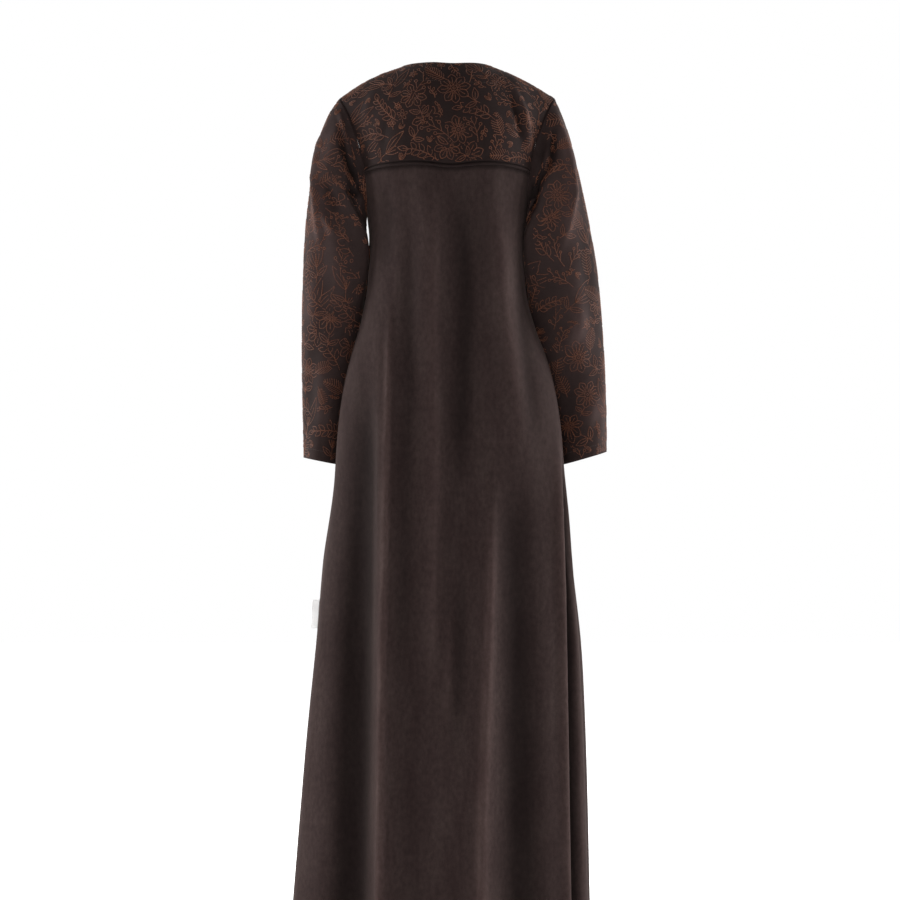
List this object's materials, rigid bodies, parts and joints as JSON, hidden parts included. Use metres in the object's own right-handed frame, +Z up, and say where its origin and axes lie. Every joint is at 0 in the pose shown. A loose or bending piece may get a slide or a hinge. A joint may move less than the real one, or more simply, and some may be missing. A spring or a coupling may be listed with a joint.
{
  "type": "abaya",
  "caption": "Long A-line abaya in the shape of being worn, with an embroidered back yoke, embroidered long sleeves, a plain suede-like body and a bare side label.",
  "frame": {"origin": "in the middle of the neck opening, 14 mm below the points where the shoulder seams meet the neckline: the wearer's shoulders hold the garment there", "axes": "+Z up along the centre back, +Y to the wearer's back, +X to the wearer's left"},
  "size_m": [0.5527, 0.4209, 1.4963],
  "materials": {
    "suede": "dark brown suede-like cloth, soft nap",
    "embroidered_cloth": "dark brown matt satin with rust brown line embroidery",
    "label_satin": "white satin ribbon, bare"
  },
  "bodies": {
    "root": {"back_panel": "suede", "back_yoke": "embroidered_cloth", "front_left": "suede", "front_right": "suede", "sleeve_left": "embroidered_cloth", "sleeve_right": "embroidered_cloth", "side_label": "label_satin"}
  },
  "joints": []
}
